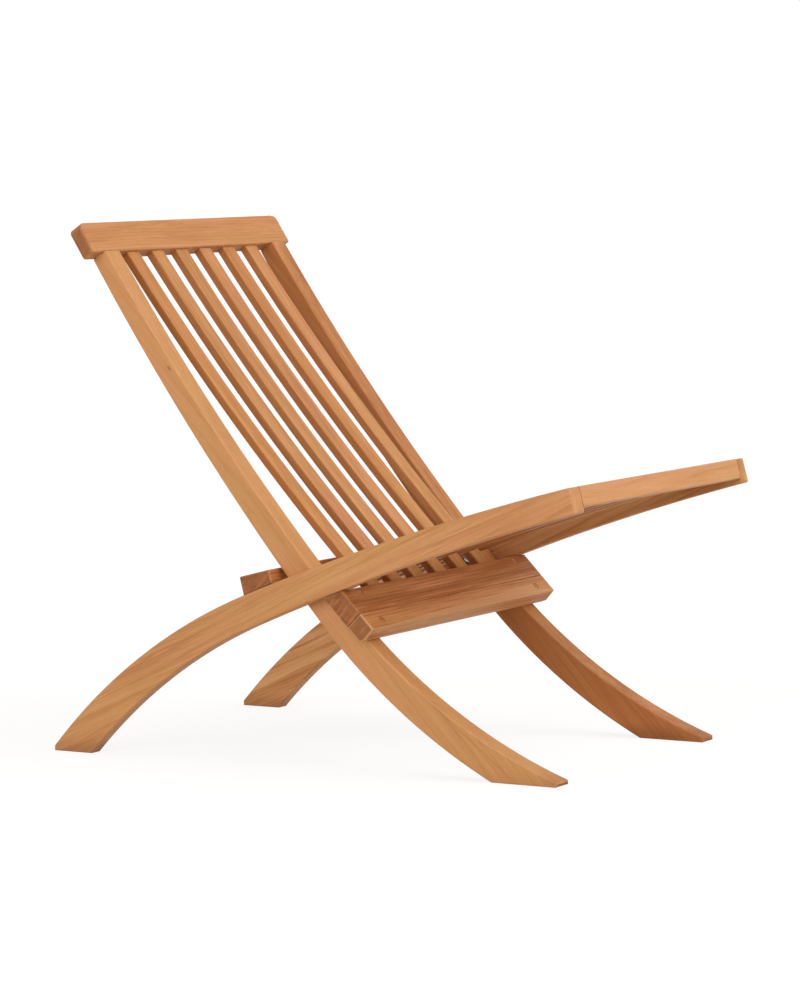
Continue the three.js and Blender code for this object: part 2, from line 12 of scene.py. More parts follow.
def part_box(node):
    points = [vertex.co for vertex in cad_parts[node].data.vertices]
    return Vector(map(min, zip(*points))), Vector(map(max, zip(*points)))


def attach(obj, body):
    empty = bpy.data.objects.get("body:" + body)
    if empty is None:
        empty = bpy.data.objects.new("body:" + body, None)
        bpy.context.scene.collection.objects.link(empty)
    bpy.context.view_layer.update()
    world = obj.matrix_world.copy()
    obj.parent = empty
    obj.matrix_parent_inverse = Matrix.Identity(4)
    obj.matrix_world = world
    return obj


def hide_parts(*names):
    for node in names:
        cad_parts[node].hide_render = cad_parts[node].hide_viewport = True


bl_info = {
    "name": "Folding Teak Chair",
    "version": (1, 0, 0),
    "blender": (4, 5, 0),
    "location": "View3D > Sidebar > Chair",
    "description": "Finishes the timber and hardware of a folding garden chair",
    "category": "Object",
}

SEAT_MEMBERS = ("seat_rail_right", "seat_rail_left", "front_rail", "rear_board")

# Grain directions in the side view, in degrees up from +Y
STILE_GRAIN = 47.0
RAIL_GRAIN = -24.0
BACK_SLAT_GRAIN = 51.5
SEAT_SLAT_GRAIN = -20.6

# How fine the patterns of the wood are, along the grain and both ways across it, per metre
WANDER_RATE = (2.2, 9.0, 9.0)
PATCH_RATE = (2.6, 15.0, 15.0)
BROAD_RATE = (3.0, 46.0, 46.0)
FIBRE_RATE = (11.0, 330.0, 330.0)
THREAD_RATE = (7.0, 640.0, 640.0)
FINE_RATE = (34.0, 1500.0, 1500.0)
PORE_RATE = (120.0, 2300.0, 2300.0)
SPECKLE_RATE = (500.0, 900.0, 900.0)
BAND_RATE = (130.0, 22.0)

# How far apart in the log pieces and copies are cut, and how far the fibres wander, in metres
SEED_STEP = (1.31, 0.17, 0.23)
ROW_STEP = 0.37
ROW_SHARES = (1.0, 1.9, 2.3)
WANDER = (0.0, 0.012, 0.012)

# How much each pattern lightens or darkens the wood
BROAD_SHARE = 0.95
FIBRE_SHARE = 0.85
FINE_SHARE = 0.3
RING_SHARE = 0.3
DEPTH_SHARE = 0.22
PORE_SHARE = 0.3
MARK_SHARE = 0.6
ROW_STREAK_SHARE = 0.7
END_RING_SHARE = 0.08
END_BAND_SHARE = 0.4
END_DARK_SHARE = 0.3

# Between which values of its pattern, or of the height in metres, a mark comes in
LATE_WOOD = (0.62, 1.0)
PORES = (0.66, 0.74)
WARM_PATCHES = (0.38, 0.66)
PALE_THREADS = (0.6, 0.74)
DARK_FIBRES = (0.42, 0.7)
BROKEN_FIBRES = (0.3, 0.6)
DARKENING_PATCHES = (0.3, 0.7)
DARKENING_HEIGHT = (0.028, 0.002)
END_TONES = (0.0, 0.55)
END_RINGS = (0.35, 0.95)
END_BANDS = (0.5, 0.68)

# Places of the dark, middle and light colour between the darkest and the palest tone
DARK_STOP = 0.12
MIDDLE_STOP = 0.5
LIGHT_STOP = 0.86

# Colours to multiply the wood with
COOL_PATCH = (1.0, 1.01, 0.92, 1.0)
WARM_PATCH = (1.025, 0.965, 0.98, 1.0)
PALE_ROW = (1.05, 1.07, 0.93, 1.0)
WARMTH = (-0.12, -0.34, -0.42)
THREAD_FACTOR = 1.12
PALE_END_FACTOR = 1.65

TEAK_ROUGHNESS = 0.46
TEAK_SPECULAR = 0.2

# The wave texture turns through this many radians in a length of 1
WAVE_TURN = 20

# Bends between faces, in degrees: within a flat, a surface and a turned surface, and the least at an arris
FLAT_BEND = 0.08
SURFACE_BEND = 24
TURNED_BEND = 28
ARRIS_BEND = 61

# Corners this near are one, or lie on one plane, and strips narrower than this are arrises, in metres
SAME_PLACE = 2e-5
ON_PLANE = 1e-5
ARRIS_STRIP = 0.0013
# Strips up to this width on the lower front board, its narrow bottom face among them, get a painted highlight
PAINTED_HIGHLIGHT_STRIP = 0.014

# Where the top of a plug begins, as a share of its length, and how narrow its eased rim is
PLUG_TOP_SHARE = 0.45
PLUG_RIM_POWER = 8.0

# The camera that fits the photograph, in degrees (azimuth, elevation, roll), metres and millimetres
CAMERA_ANGLES = (-58.33, 5.197, -1.077)
CAMERA_AIM = (0.0, -0.00382, 0.361218)
CAMERA_DISTANCE = 5.4472
SENSOR_HEIGHT = 24.0
FOCAL_LENGTH = 89.587

# The floor lies a hair low so that the feet don't share its plane. The lights stand in these directions.
FLOOR_HEIGHT = -0.0002
SIDE_SOURCE = (-0.98, -0.05, 0.15)
FRONT_SOURCE = (0.1, -0.8, 0.6)
WHITE = (1.0, 1.0, 1.0)
AMBIENT_COLOUR = (1.0, 0.985, 0.97)
FLOOR_GLOW = 1.26
BACKGROUND_GLOW = 1.05

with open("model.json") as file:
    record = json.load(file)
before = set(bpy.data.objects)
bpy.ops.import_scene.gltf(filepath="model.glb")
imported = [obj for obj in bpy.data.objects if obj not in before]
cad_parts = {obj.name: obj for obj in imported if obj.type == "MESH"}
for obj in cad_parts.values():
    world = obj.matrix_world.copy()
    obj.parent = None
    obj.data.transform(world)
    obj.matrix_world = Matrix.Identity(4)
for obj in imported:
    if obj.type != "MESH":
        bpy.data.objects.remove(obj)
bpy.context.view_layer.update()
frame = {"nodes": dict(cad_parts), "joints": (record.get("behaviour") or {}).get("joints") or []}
hinge = Vector(frame["joints"][0]["pos_m"])


def rgb(hex_colour):
    """Linear colour of a hex string."""
    values = [int(hex_colour[i : i + 2], 16) / 255 for i in (0, 2, 4)]
    return [v / 12.92 if v <= 0.04045 else ((v + 0.055) / 1.055) ** 2.4 for v in values]


def rgba(colour, factor=1.0):
    return (*[factor * v for v in colour], 1.0)


def share_between(value, low, high):
    """0 up to low, 1 from high on, and evenly between them."""
    return max(0.0, min(1.0, (value - low) / (high - low)))


def new_object(name, data):
    made = bpy.data.objects.new(name, data)
    bpy.context.scene.collection.objects.link(made)
    return made


# Settings


def amount(name, description, default, **kind):
    return bpy.props.FloatProperty(name=name, description=description, default=default, min=0.0, **kind)


def length(name, description, default):
    return amount(name, description, default, subtype="DISTANCE", unit="LENGTH")


def colour(name, description, hex_colour):
    kind = {"min": 0.0, "max": 1.0, "size": 3, "subtype": "COLOR"}
    return bpy.props.FloatVectorProperty(name=name, description=description, default=rgb(hex_colour), **kind)


class TimberSettings(bpy.types.PropertyGroup):
    arris_radius: length("Arris radius", "Rounding of the long free edges of the timber", 0.0022)
    end_radius: length("End radius", "Rounding round the free ends and the soles of the feet", 0.0045)
    rail_end_radius: length("Rail end radius", "Rounding over of both ends of the top rail", 0.007)
    chamfer_softening: length("Chamfer softening", "Rounding of both edges of a planed chamfer", 0.0008)
    joint_reach: length("Joint reach", "Edges this near to another piece stay sharp", 0.0005)
    seam_reach: length("Seam reach", "Edges this near to another piece are only just broken", 0.0016)
    seam_softening: length("Seam softening", "Rounding of the edges on both sides of an open seam", 0.0007)
    light: colour("Light wood", "Pale fibres of oiled teak", "DCA777")
    middle: colour("Middle wood", "General tone of oiled teak", "CC925E")
    dark: colour("Dark wood", "Dark fibres and growth rings", "A96B3B")
    streak: colour("Streak", "Mineral streaks and knots", "6E3F22")
    # Painted shade: faces that face across the chair take this darker colour, in place of the shade between
    # the slats and on the far stile's inner face
    painted_side_shade: colour("Sawn side", "Sides that face the next slat, left darker than the planed faces", "AC6831")
    end: colour("End grain", "Ends of the timber, which soak up more oil", "A26A41")
    ring_spacing: length("Ring spacing", "Distance between growth rings", 0.0052)


class FastenerSettings(bpy.types.PropertyGroup):
    plug_crown: length("Plug crown", "Height of a plug's slightly domed face", 0.00015)
    plug_ease: length("Plug ease", "How far a plug's rim falls away", 0.00035)
    bolt_head: length("Bolt head height", "Height of the hinge bolt's head", 0.0045)
    bolt_shank: length("Bolt shank radius", "Radius of the hinge bolt's shank", 0.004)
    bolt_socket: length("Bolt socket", "Half the width across the flats of the hexagon socket", 0.0027)
    bolt_socket_depth: length("Bolt socket depth", "Depth of the hexagon socket", 0.0024)
    screw_shank: length("Screw shank radius", "Radius of a wood screw's shank", 0.0025)
    screw_head: length("Screw head height", "Height of a countersunk head", 0.003)
    screw_cross: length("Screw cross", "Reach of the cross recess from the screw's axis", 0.0026)
    steel: colour("Stainless steel", "Brushed stainless steel", "B9BCC0")


class StageSettings(bpy.types.PropertyGroup):
    floor_colour: colour("Floor", "Plain pale floor", "DCDBD8")
    floor_size: length("Floor size", "Side of the square floor", 14.0)
    shadow_share: amount("Shadow share", "How strongly the floor shows the shadow", 0.35)
    ambient: amount("Ambient", "Strength of the even light from all round", 0.36)
    side_strength: amount("Side light", "Strength of the low light from the sitter's right", 1.85)
    front_strength: amount("Front light", "Strength of the light from above the front", 1.8)
    light_spread: amount(
        "Spread", "Angle that each light fills", math.radians(60), subtype="ANGLE", unit="ROTATION"
    )


class Graph:
    """Short calls for adding nodes to a tree and joining them."""

    def __init__(self, tree):
        self.tree = tree

    def add(self, kind, **settings):
        node = self.tree.nodes.new(kind)
        for name, value in settings.items():
            setattr(node, name, value)
        return node

    def put(self, socket, value):
        if isinstance(value, bpy.types.NodeSocket):
            self.tree.links.new(value, socket)
        else:
            socket.default_value = value

    def put_all(self, node, values):
        for name, value in values.items():
            self.put(node.inputs[name], value)

    def put_first(self, node, *values):
        for socket, value in zip(node.inputs, values):
            self.put(socket, value)
        return node.outputs

    def made(self, kind, values, output="Geometry", **settings):
        """One output of a new node with these inputs."""
        node = self.add(kind, **settings)
        self.put_all(node, values)
        return node.outputs[output]

    def math(self, operation, *values, clamp=False):
        node = self.add("ShaderNodeMath", operation=operation, use_clamp=clamp)
        return self.put_first(node, *values)[0]

    def times(self, first, second):
        return self.math("MULTIPLY", first, second)

    def vector(self, operation, *values):
        outputs = self.put_first(self.add("ShaderNodeVectorMath", operation=operation), *values)
        return outputs["Value" if operation == "LENGTH" else "Vector"]

    def scaled(self, vector, scale):
        return self.vector("MULTIPLY", vector, scale)

    def noise(self, vector, detail, roughness=0.55, output="Fac"):
        values = {"Vector": vector, "Scale": 1.0, "Detail": detail, "Roughness": roughness}
        return self.made("ShaderNodeTexNoise", values, output)

    def smooth(self, value, low, high, to_low=0.0, to_high=1.0):
        node = self.add("ShaderNodeMapRange", interpolation_type="SMOOTHSTEP")
        return self.put_first(node, value, low, high, to_low, to_high)["Result"]

    def mix(self, share, first, second, blend="MIX"):
        node = self.add("ShaderNodeMix", data_type="RGBA", blend_type=blend)
        self.put(node.inputs[0], share)
        self.put(node.inputs[6], first)
        self.put(node.inputs[7], second)
        return node.outputs[2]

    def parts(self, vector):
        return self.put_first(self.add("ShaderNodeSeparateXYZ"), vector)

    def join(self, x, y, z):
        return self.put_first(self.add("ShaderNodeCombineXYZ"), x, y, z)[0]

    def attribute(self, name):
        node = self.add("ShaderNodeAttribute", attribute_name=name, attribute_type="GEOMETRY")
        return node.outputs["Fac"]

    def bump(self, shader, height, strength, distance):
        values = {"Strength": strength, "Distance": distance, "Height": height}
        self.put(shader.inputs["Normal"], self.made("ShaderNodeBump", values, "Normal"))


def new_material(name):
    """A material with its graph and its shader."""
    material = bpy.data.materials.new(name)
    material.use_nodes = True
    return material, Graph(material.node_tree), material.node_tree.nodes["Principled BSDF"]


# Finishes


def along_x(slope=0.0):
    """Turn of the texture for grain that runs across the chair, at a slope in degrees."""
    return Euler((0.0, 0.0, math.radians(slope)))


def in_side_view(angle):
    """Turn for grain in the side view, at an angle in degrees up from +Y.

    The texture's Z then runs across the chair.
    """
    c, s = math.cos(math.radians(angle)), math.sin(math.radians(angle))
    return Matrix(((0, c, s), (0, -s, c), (1, 0, 0))).to_euler()


def teak(
    name,
    grain,
    seed,
    warmth=0.0,
    depth=0.0,
    figure=0.5,
    contrast=1.0,
    side_shade=0.0,
    wear_and_highlight=0.08,
    pale_lines=0.2,
    end_share=1.0,
    pale_rows=(),
    streaks=(),
    knots=(),
    pith=(-0.09, -0.03),
):
    """Oiled teak: a solid texture of rings and fibres, so ends and sides of a piece agree with each other.

    grain turns the piece so that its fibres run along X of the texture. seed moves it through the log.
    Places are in metres in the turned space about the hinge line, where axis 1 or 2 says which way across is
    measured. A streak is (axis, start, end, across at start, across at end, half width, strength), and a knot
    is (axis, along, across, radius).
    """
    timber = bpy.context.scene.chair_timber
    material, g, shader = new_material(name)
    place = g.add("ShaderNodeTexCoord").outputs["Object"]
    turn = {"Vector": g.vector("SUBTRACT", place, tuple(hinge)), "Rotation": tuple(grain)}
    straight = g.made("ShaderNodeMapping", turn, "Vector", vector_type="POINT")
    seed_place = [seed * step for step in SEED_STEP]
    row = g.times(g.attribute("row_place"), ROW_STEP)
    row_place = g.scaled(g.join(row, row, row), ROW_SHARES)
    log = g.vector("ADD", g.vector("ADD", straight, seed_place), row_place)

    # The fibres wander a little, and bend round the knots
    aimless = g.noise(g.scaled(log, WANDER_RATE), 1.5, 0.5, output="Color")
    drift = g.scaled(g.vector("SUBTRACT", aimless, (0.5, 0.5, 0.5)), WANDER)
    knot_mark, knot_bend = knot_fields(g, straight, knots)
    wavy = g.vector("ADD", g.vector("ADD", log, drift), g.join(0.0, knot_bend, knot_bend))
    drawn = g.vector("ADD", straight, drift)

    centre = (0.0, -pith[0] - seed_place[1], -pith[1] - seed_place[2])
    rings = growth_rings(g, g.vector("ADD", wavy, centre), timber.ring_spacing)
    late = g.smooth(rings, *LATE_WOOD)
    broad = g.noise(g.scaled(wavy, BROAD_RATE), 2.0)
    fibre = g.noise(g.scaled(wavy, FIBRE_RATE), 4.0, 0.62)
    fine = g.noise(g.scaled(wavy, FINE_RATE), 2.0)
    pores = g.smooth(g.noise(g.scaled(wavy, PORE_RATE), 1.0), *PORES)
    patch = g.noise(g.scaled(log, PATCH_RATE), 1.0)

    tone = 0.5 - DEPTH_SHARE * depth
    patterns = ((broad, BROAD_SHARE * contrast), (fibre, FIBRE_SHARE * contrast), (fine, FINE_SHARE))
    for pattern, share in patterns:
        tone = g.math("MULTIPLY_ADD", g.math("SUBTRACT", pattern, 0.5), share, tone)
    tone = g.math("SUBTRACT", tone, g.times(late, RING_SHARE * figure), clamp=True)
    ramp = g.add("ShaderNodeValToRGB")
    g.put(ramp.inputs[0], tone)
    stops = ramp.color_ramp.elements
    stops[0].position, stops[0].color = DARK_STOP, rgba(timber.dark)
    stops[1].position, stops[1].color = LIGHT_STOP, rgba(timber.light)
    stops.new(MIDDLE_STOP).color = rgba(timber.middle)
    wood = ramp.outputs["Color"]

    # Warmer and cooler heartwood in broad patches, and pale threads
    tint = g.mix(g.smooth(patch, *WARM_PATCHES), COOL_PATCH, WARM_PATCH)
    wood = g.mix(1.0, wood, tint, "MULTIPLY")
    thread = g.noise(g.scaled(wavy, THREAD_RATE), 1.0)
    wood = g.mix(g.smooth(thread, *PALE_THREADS, 0.0, pale_lines), wood, rgba(timber.light, THREAD_FACTOR))

    for number in pale_rows:
        this_row = g.math("COMPARE", g.attribute("row_place"), float(number), 0.25)
        pale = g.mix(1.0, wood, PALE_ROW, "MULTIPLY")
        streaky = g.mix(g.smooth(fibre, *DARK_FIBRES, 0.0, ROW_STREAK_SHARE), pale, rgba(timber.dark))
        wood = g.mix(this_row, wood, streaky)
    # Painted shade: faces that face across the chair are darkened by side_shade, standing in for the shade
    # between neighbouring slats and on the far stile's inner faces
    if side_shade:
        wood = g.mix(g.times(g.attribute("side_face"), side_shade), wood, rgba(timber.painted_side_shade))
    if streaks or knots:
        marks = streak_marks(g, drawn, fibre, streaks, knot_mark)
        wood = g.mix(g.math("MULTIPLY", marks, MARK_SHARE, clamp=True), wood, rgba(timber.streak))
    wood = g.mix(g.times(pores, PORE_SHARE), wood, rgba(timber.streak))

    end = g.times(g.attribute("end_grain"), end_share)
    wood = g.mix(end, wood, end_wood(g, wavy, broad, rings, timber.end, contrast))
    if warmth:
        wood = g.mix(1.0, wood, rgba([1 + warmth * v for v in WARMTH]), "MULTIPLY")

    # The wood darkens in patches near the floor, and arrises are paler
    height = g.parts(place)[2]
    near_floor_darkening = g.times(g.smooth(height, *DARKENING_HEIGHT), g.smooth(patch, *DARKENING_PATCHES, 0.1, 0.55))
    wood = g.mix(near_floor_darkening, wood, rgba(timber.streak))
    # Paler arrises: partly wear from handling, partly a painted highlight
    wood = g.mix(g.times(g.attribute("arris"), wear_and_highlight), wood, rgba(timber.light))
    rough = g.math("MULTIPLY_ADD", fine, 0.16, g.math("MULTIPLY_ADD", end, 0.12, TEAK_ROUGHNESS))
    g.put_all(shader, {"Base Color": wood, "Roughness": rough, "Specular IOR Level": TEAK_SPECULAR})

    relief = g.math("MULTIPLY_ADD", fine, 0.5, g.times(fibre, 0.6))
    relief = g.math("SUBTRACT", relief, g.times(pores, 0.6))
    g.bump(shader, relief, strength=0.3, distance=0.0005)
    return material


def knot_fields(g, straight, knots):
    """How strongly each place belongs to a knot, and how far its fibres are bent aside."""
    length_share, bend_reach, bend_share = 0.42, 3.4, 0.9
    mark, bend = 0.0, 0.0
    for axis, along, across, radius in knots:
        spot = [along, 0.0, 0.0]
        rate = [length_share / radius, 0.0, 0.0]
        spot[axis], rate[axis] = across, 1.0 / radius
        away = g.scaled(g.vector("SUBTRACT", straight, spot), rate)
        distance = g.vector("LENGTH", away)
        mark = g.math("ADD", mark, g.smooth(distance, 1.0, 0.15))
        lift = g.smooth(distance, bend_reach, 0.0, 0.0, radius * bend_share)
        bend = g.math("ADD", bend, g.times(lift, g.math("SIGN", g.parts(away)[axis])))
    return mark, bend


def growth_rings(g, from_pith, spacing):
    """Rings round a pith that lies outside the piece."""
    place = g.scaled(from_pith, (0.25, 1.0, 1.0))
    rate = 2 * math.pi / (WAVE_TURN * spacing)
    shape = {"Vector": place, "Scale": rate, "Distortion": 2.6, "Detail": 2.0, "Detail Scale": 0.35}
    kind = {"wave_type": "RINGS", "rings_direction": "X", "wave_profile": "SAW"}
    return g.made("ShaderNodeTexWave", shape, "Fac", **kind)


def streak_marks(g, drawn, fibre, streaks, marks):
    """The marks with narrow dark streaks added, which fade at both ends and break up along the fibres."""
    longest_fade, fade_share = 0.05, 0.4
    for axis, start, end, across_start, across_end, half_width, share in streaks:
        along, across = g.parts(drawn)[0], g.parts(drawn)[axis]
        slope = (across_end - across_start) / (end - start)
        line = g.math("MULTIPLY_ADD", along, slope, across_start - slope * start)
        near = g.smooth(g.math("ABSOLUTE", g.math("SUBTRACT", across, line)), half_width, 0.0)
        fade = min(longest_fade, fade_share * (end - start))
        window = g.times(g.smooth(along, start, start + fade), g.smooth(along, end, end - fade))
        mark = g.times(near, g.times(window, share))
        broken = g.smooth(fibre, *BROKEN_FIBRES, 0.45, 1.0)
        marks = g.math("ADD", marks, g.times(mark, broken))
    return marks


def end_wood(g, wavy, broad, rings, base, contrast):
    """End grain: darker, with rings, open pores and pale bands instead of long fibres."""
    pale, dark = rgba(base, PALE_END_FACTOR), rgba(base, 1 - END_DARK_SHARE * contrast)
    speckle = g.noise(g.scaled(wavy, SPECKLE_RATE), 2.0, 0.7)
    tone = g.math("MULTIPLY_ADD", g.math("SUBTRACT", broad, 0.5), 1.3, g.times(speckle, 0.5))
    wood = g.mix(g.smooth(tone, *END_TONES), dark, rgba(base))
    _, y, z = g.parts(wavy)
    slant = g.times(g.math("ADD", y, z), BAND_RATE[0])
    along = g.times(g.math("SUBTRACT", y, z), BAND_RATE[1])
    band = g.noise(g.join(0.0, slant, along), 2.0)
    ring_share = g.times(g.smooth(rings, *END_RINGS), END_RING_SHARE * contrast)
    wood = g.mix(ring_share, wood, pale)
    return g.mix(g.smooth(band, *END_BANDS, 0.0, END_BAND_SHARE * contrast), wood, pale)


def brushed_steel(base):
    """Stainless steel with turning marks round the axis that runs across the chair."""
    material, g, shader = new_material("stainless_steel")
    place = g.vector("SUBTRACT", g.add("ShaderNodeTexCoord").outputs["Object"], tuple(hinge))
    _, y, z = g.parts(place)
    radius = g.vector("LENGTH", g.join(0.0, y, z))
    marks = g.noise(g.join(g.times(radius, 5200.0), 0.0, 0.0), 2.0)
    cloud = g.noise(g.scaled(place, (420.0, 420.0, 420.0)), 3.0)
    tint = g.mix(g.smooth(cloud, 0.3, 0.75), rgba(base, 0.8), rgba(base))
    rough = g.math("MULTIPLY_ADD", marks, 0.3, 0.2)
    g.put_all(shader, {"Base Color": tint, "Metallic": 1.0, "Roughness": rough})
    g.bump(shader, marks, strength=0.15, distance=0.0001)
    return material


# Shapes of the timber


def neighbours_of(node_name):
    """A search tree over every CAD node but the named one."""
    corners, faces = [], []
    for name, node in frame["nodes"].items():
        if name == node_name:
            continue
        base = len(corners)
        corners += [v.co.copy() for v in node.data.vertices]
        faces += [[base + i for i in polygon.vertices] for polygon in node.data.polygons]
    return BVHTree.FromPolygons(corners, faces)


def at_free_end(edge, grain_axis):
    """Whether an edge runs round the end of a piece or round the sole of a foot."""
    least_end, least_sole = 0.75, 0.95
    normals = [face.normal for face in edge.link_faces]
    return any(abs(n.dot(grain_axis)) > least_end or n.z < -least_sole for n in normals)


def rounding_of(edge, others, grain_axis, soft_ends):
    """The radius for an edge: 0 in a joint, less along an open seam, more round the free ends."""
    timber = bpy.context.scene.chair_timber
    middle = (edge.verts[0].co + edge.verts[1].co) / 2
    gap = others.find_nearest(middle, timber.seam_reach)[3]
    if gap is not None and gap < timber.joint_reach:
        return 0.0
    radius = timber.chamfer_softening
    if math.degrees(edge.calc_face_angle()) > ARRIS_BEND:
        soft = soft_ends and at_free_end(edge, grain_axis)
        radius = timber.end_radius if soft else timber.arris_radius
    return radius if gap is None else min(radius, timber.seam_softening)


def dressed(node_name, grain_axis, soft_ends=False, arris_strip=ARRIS_STRIP, drawn_in=0.0):
    """A copy of a CAD node with its free arrises rounded, and marks for end grain and arrises.

    Strips narrower than arris_strip are marked as arrises. With soft_ends the free ends are rounded more than
    the long arrises, and with drawn_in both ends across the chair are rounded over with that radius instead.
    """
    timber = bpy.context.scene.chair_timber
    grain_axis = Vector(grain_axis)
    widest = timber.end_radius if soft_ends else timber.arris_radius
    others = neighbours_of(node_name)
    bm = bmesh.new()
    bm.from_mesh(frame["nodes"][node_name].data)
    bmesh.ops.remove_doubles(bm, verts=bm.verts, dist=SAME_PLACE)
    bmesh.ops.dissolve_limit(bm, angle_limit=math.radians(FLAT_BEND), verts=bm.verts, edges=bm.edges)
    bmesh.ops.recalc_face_normals(bm, faces=bm.faces)
    weight = bm.edges.layers.float.new("bevel_weight_edge")
    tip = max(v.co.x for v in bm.verts)
    for edge in bm.edges:
        if len(edge.link_faces) != 2:
            raise RuntimeError(f"{node_name} isn't closed")
        bend = math.degrees(edge.calc_face_angle())
        edge.smooth = bend < SURFACE_BEND
        if edge.smooth or not edge.is_convex:
            continue
        radius = rounding_of(edge, others, grain_axis, soft_ends)
        edge.smooth = radius > 0
        to_tip = tip - abs(edge.verts[0].co.x + edge.verts[1].co.x) / 2
        if not drawn_in or to_tip >= 2 * drawn_in:
            edge[weight] = radius / widest
    mesh = bpy.data.meshes.new(node_name)
    bm.to_mesh(mesh)
    bm.free()
    holder = new_object(node_name + "_dressing", mesh)
    bevel = holder.modifiers.new("Arrises", "BEVEL")
    bevel.limit_method = "WEIGHT"
    bevel.width = widest
    bevel.segments = 3
    bevel.use_clamp_overlap = True
    result = plain_mesh(holder)
    mark_faces(result, grain_axis, arris_strip)
    if drawn_in:
        for outward in (-1, 1):
            round_end(result, outward, drawn_in)
        fade_end_marks(result, grain_axis)
    return result


def keep_within(mesh, box):
    """Pulls back the few corners that the rounding throws past the box of the node."""
    low, high = box
    for vertex in mesh.vertices:
        vertex.co = [min(max(vertex.co[i], low[i]), high[i]) for i in range(3)]


def round_end(mesh, outward, radius, steps=6):
    """Draws the section in along a quarter circle towards one end of a piece that runs across the chair."""
    across_chair = Vector((1.0, 0.0, 0.0))
    bm = bmesh.new()
    bm.from_mesh(mesh)
    tip = max(v.co.x * outward for v in bm.verts)
    for step in range(1, steps + 1):
        depth = radius * (1 - math.cos(math.pi / 2 * step / steps))
        everything = bm.verts[:] + bm.edges[:] + bm.faces[:]
        plane = across_chair * (outward * (tip - depth))
        bmesh.ops.bisect_plane(bm, geom=everything, dist=1e-6, plane_co=plane, plane_no=across_chair)
    broad_side = max(bm.faces, key=lambda face: face.calc_area()).normal
    thickness = Vector((0.0, broad_side.y, broad_side.z)).normalized()
    for axis in (thickness, thickness.cross(across_chair)):
        section = [v.co.dot(axis) for v in bm.verts if abs(tip - radius - v.co.x * outward) < ON_PLANE]
        middle, half = (min(section) + max(section)) / 2, (max(section) - min(section)) / 2
        for vert in bm.verts:
            run = radius - (tip - vert.co.x * outward)
            if run > 0:
                inset = radius - math.sqrt(max(0.0, radius**2 - run**2))
                vert.co -= axis * ((vert.co.dot(axis) - middle) * inset / half)
    bm.to_mesh(mesh)
    bm.free()


def plain_mesh(holder):
    """The evaluated mesh of an object, which is then removed."""
    depsgraph = bpy.context.evaluated_depsgraph_get()
    mesh = bpy.data.meshes.new_from_object(holder.evaluated_get(depsgraph), depsgraph=depsgraph)
    source = holder.data
    bpy.data.objects.remove(holder)
    bpy.data.meshes.remove(source)
    return mesh


def mark_faces(mesh, grain_axis, arris_strip):
    """Writes how far each face is end grain or faces sideways, and whether it is an arris."""
    names = ("end_grain", "arris", "side_face")
    for name in names:
        mesh.attributes.new(name, "FLOAT", "FACE")
    end, arris, side = (mesh.attributes[name].data for name in names)
    for i, polygon in enumerate(mesh.polygons):
        end[i].value = share_between(abs(polygon.normal.dot(grain_axis)), 0.6, 0.85)
        # Faces that face across the chair, where the painted side shade goes
        side[i].value = share_between(abs(polygon.normal.x), 0.6, 0.9)
        width = polygon.area / max(1e-9, max(edge_lengths(mesh, polygon)))
        arris[i].value = float(width < arris_strip)


def fade_end_marks(mesh, grain_axis):
    """Lets the end grain come in little by little round a rounded end."""
    mesh.attributes.remove(mesh.attributes["end_grain"])
    end = mesh.attributes.new("end_grain", "FLOAT", "POINT")
    for vertex in mesh.vertices:
        end.data[vertex.index].value = share_between(abs(vertex.normal.dot(grain_axis)), 0.35, 0.95)


def edge_lengths(mesh, polygon):
    corners = [mesh.vertices[i].co for i in polygon.vertices]
    return [(a - b).length for a, b in zip(corners, corners[1:] + corners[:1])]


def smooth_piece(name, mesh, material):
    """An object at the origin with smooth normals that keep the flats flat."""
    mesh.materials.clear()
    mesh.materials.append(material)
    mesh.polygons.foreach_set("use_smooth", [True] * len(mesh.polygons))
    holder = new_object(name + "_normals", mesh)
    normals = holder.modifiers.new("Normals", "WEIGHTED_NORMAL")
    normals.keep_sharp = True
    normals.weight = 80
    finished = plain_mesh(holder)
    finished.name = name
    return new_object(name, finished)


def hand_over(piece, body, slot, *nodes):
    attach(piece, body)
    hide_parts(*nodes)


def body_of(node_name):
    return "seat_frame" if node_name in SEAT_MEMBERS else "back_frame"


def direction_of(angle):
    """Direction in the side view at an angle in degrees up from +Y."""
    return Vector((0.0, math.cos(math.radians(angle)), math.sin(math.radians(angle))))


# Trees for what repeats


def new_tree(name, inputs):
    """A geometry tree with named inputs, as its graph and the sockets that they come from."""
    tree = bpy.data.node_groups.new(name, "GeometryNodeTree")
    for label, kind in inputs.items():
        tree.interface.new_socket(name=label, in_out="INPUT", socket_type="NodeSocket" + kind)
    tree.interface.new_socket(name="Geometry", in_out="OUTPUT", socket_type="NodeSocketGeometry")
    g = Graph(tree)
    return g, g.add("NodeGroupInput").outputs


def finish_tree(g, places, finish):
    """Puts the copies in their places, numbers them, makes them real and gives them their material."""
    copies = g.made("GeometryNodeInstanceOnPoints", places, "Instances")
    index = g.add("GeometryNodeInputIndex").outputs["Index"]
    number = {"Geometry": copies, "Name": "row_place", "Value": index}
    copies = g.made("GeometryNodeStoreNamedAttribute", number, data_type="FLOAT", domain="INSTANCE")
    solid = g.made("GeometryNodeRealizeInstances", {"Geometry": copies})
    finished = g.made("GeometryNodeSetMaterial", {"Geometry": solid, "Material": finish})
    g.put(g.add("NodeGroupOutput").inputs["Geometry"], finished)
    return g.tree


def row_tree():
    """Repeats one piece across the chair at an even pitch, and numbers the copies."""
    inputs = {"Piece": "Object", "Count": "Int", "Pitch": "Float", "First place": "Float"}
    g, given = new_tree("Row of like pieces", {**inputs, "Finish": "Material"})
    start, pitch = g.join(given["First place"], 0.0, 0.0), g.join(given["Pitch"], 0.0, 0.0)
    spacing = {"Count": given["Count"], "Start Location": start, "Offset": pitch}
    line = g.made("GeometryNodeMeshLine", spacing, "Mesh")
    piece = g.made("GeometryNodeObjectInfo", {"Object": given["Piece"]})
    return finish_tree(g, {"Points": line, "Instance": piece}, given["Finish"])


